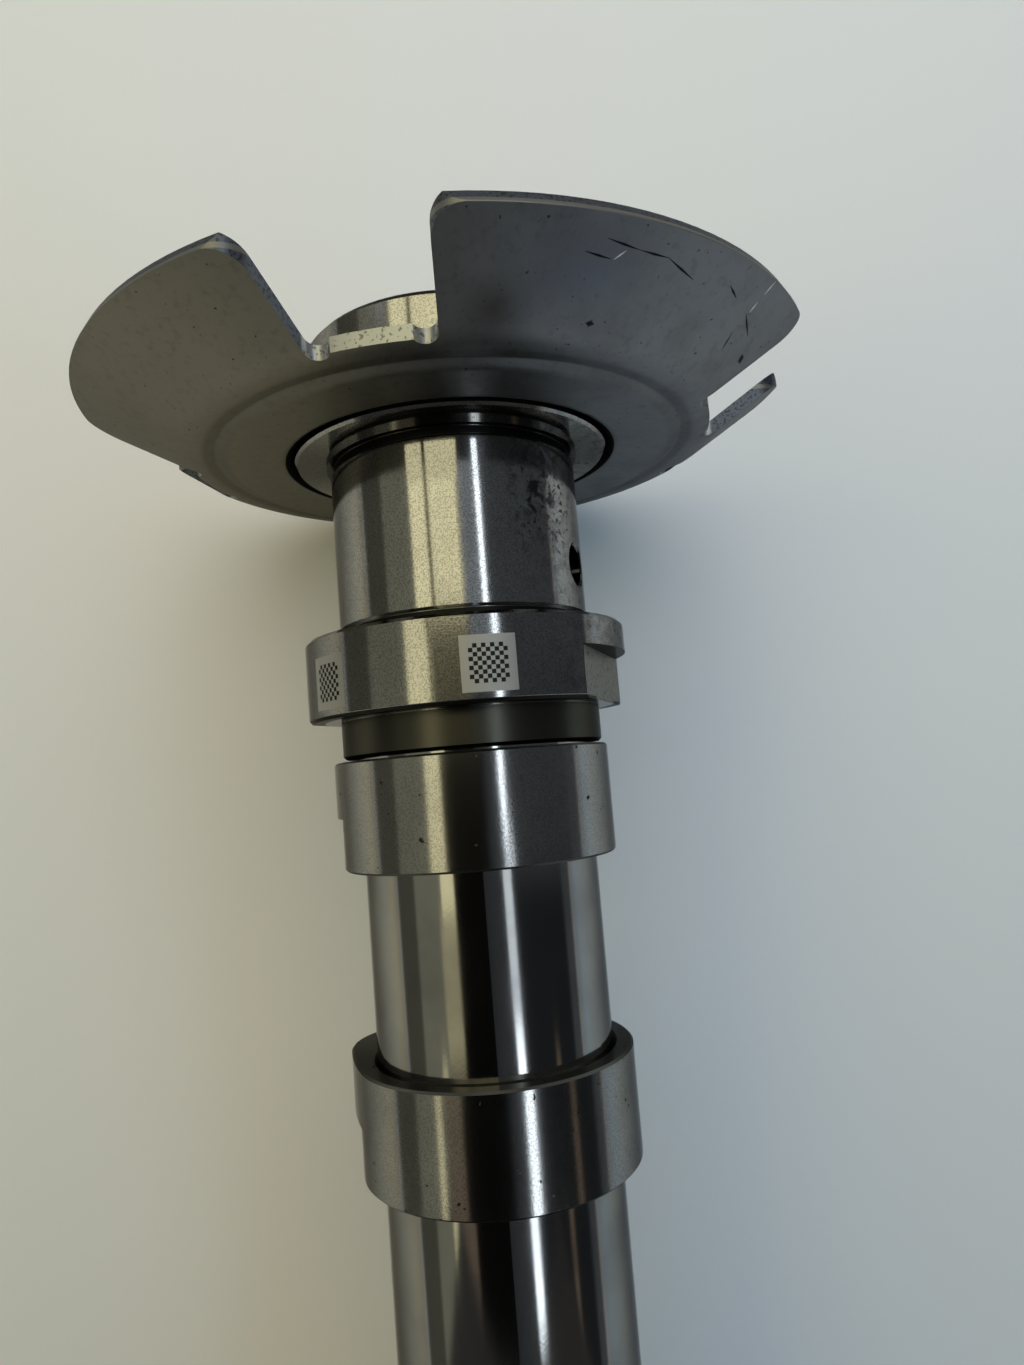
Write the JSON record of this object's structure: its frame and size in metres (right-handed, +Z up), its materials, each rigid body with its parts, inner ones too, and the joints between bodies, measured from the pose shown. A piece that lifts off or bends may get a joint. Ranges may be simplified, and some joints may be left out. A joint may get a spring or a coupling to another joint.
{
  "type": "camshaft",
  "caption": "Assembled engine camshaft: steel tube with pressed-on cams, front bearing journal, spanner collar and flared sheet trigger wheel.",
  "frame": {"origin": "on the shaft's axis, at the mouth of the phaser bolt's thread", "axes": "+X runs rearwards along the lying shaft, +Z is up, +Y is to the shaft's left; the shaft's own axis dips 4.2 degrees below +X, because the big wheel holds the front end up"},
  "size_m": [0.387, 0.0868, 0.0866],
  "materials": {
    "ground_steel": "ground",
    "tube_steel": "cross-hatched",
    "cam_steel": "ground",
    "sheet_steel": "satin"
  },
  "bodies": {
    "root": {"shaft_tube": "tube_steel", "drive_end": "ground_steel", "trigger_wheel": "sheet_steel", "end_plug": "sheet_steel", "cam_1a": "cam_steel", "cam_1b": "cam_steel", "cam_2a": "cam_steel", "cam_2b": "cam_steel", "cam_3a": "cam_steel", "cam_3b": "cam_steel", "cam_4a": "cam_steel", "cam_4b": "cam_steel"}
  },
  "joints": []
}
